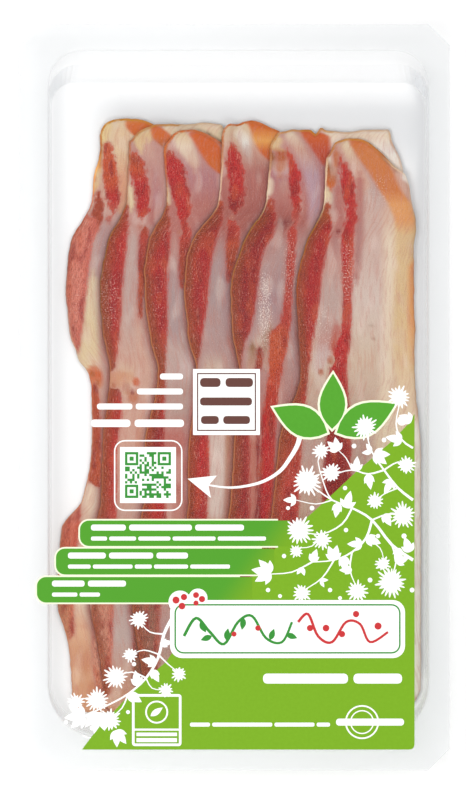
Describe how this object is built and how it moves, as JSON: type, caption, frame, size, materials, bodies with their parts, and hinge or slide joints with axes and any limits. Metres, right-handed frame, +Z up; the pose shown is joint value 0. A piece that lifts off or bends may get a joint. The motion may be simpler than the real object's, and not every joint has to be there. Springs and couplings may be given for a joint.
{
  "type": "sealed bacon pack",
  "caption": "Clear sealed tray of long thin bacon slices, shingled side by side, with a printed film over the top; lies flat.",
  "frame": {"origin": "under the middle of the pack, on the surface that it lies on", "axes": "+Y along the pack to the slices' heads, +Z up through the film, +X to the right as seen from above"},
  "size_m": [0.1444, 0.25, 0.0131],
  "materials": {
    "clear_tray": "clear, smooth",
    "cured_pork": "moist, lean and fat in bands",
    "clear_film": "clear, printed in green and white"
  },
  "bodies": {
    "root": {"tray": "clear_tray", "slice_1": "cured_pork", "slice_2": "cured_pork", "slice_3": "cured_pork", "slice_4": "cured_pork", "slice_5": "cured_pork", "slice_6": "cured_pork", "lid_film": "clear_film"}
  },
  "joints": []
}
